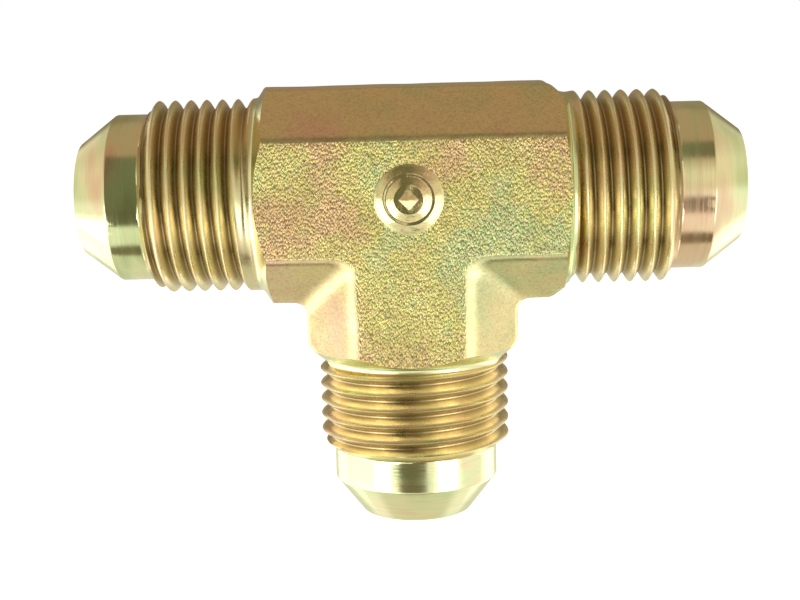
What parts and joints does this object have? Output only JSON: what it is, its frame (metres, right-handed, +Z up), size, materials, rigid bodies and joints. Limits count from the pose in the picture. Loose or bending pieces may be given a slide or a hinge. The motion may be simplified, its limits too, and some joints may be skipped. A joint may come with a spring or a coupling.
{
  "type": "flare fitting union tee",
  "caption": "Union tee for 37 degree flared tube: a forged and threaded steel body that joins two tubes in line and a third at right angles.",
  "frame": {"origin": "where the axis of the run meets the axis of the branch, at the middle of the drilled passages", "axes": "+X along the run; -Z out along the branch; -Y out of the wide face with the round locating boss; +Z up, so the fitting rests on its branch nose"},
  "size_m": [0.0752, 0.0241, 0.0498],
  "materials": {
    "plated_steel": "yellow zinc chromate plating: satin and blasted on the forged faces, bright on the turned ends"
  },
  "bodies": {
    "root": {"tee_body": "plated_steel"}
  },
  "joints": []
}
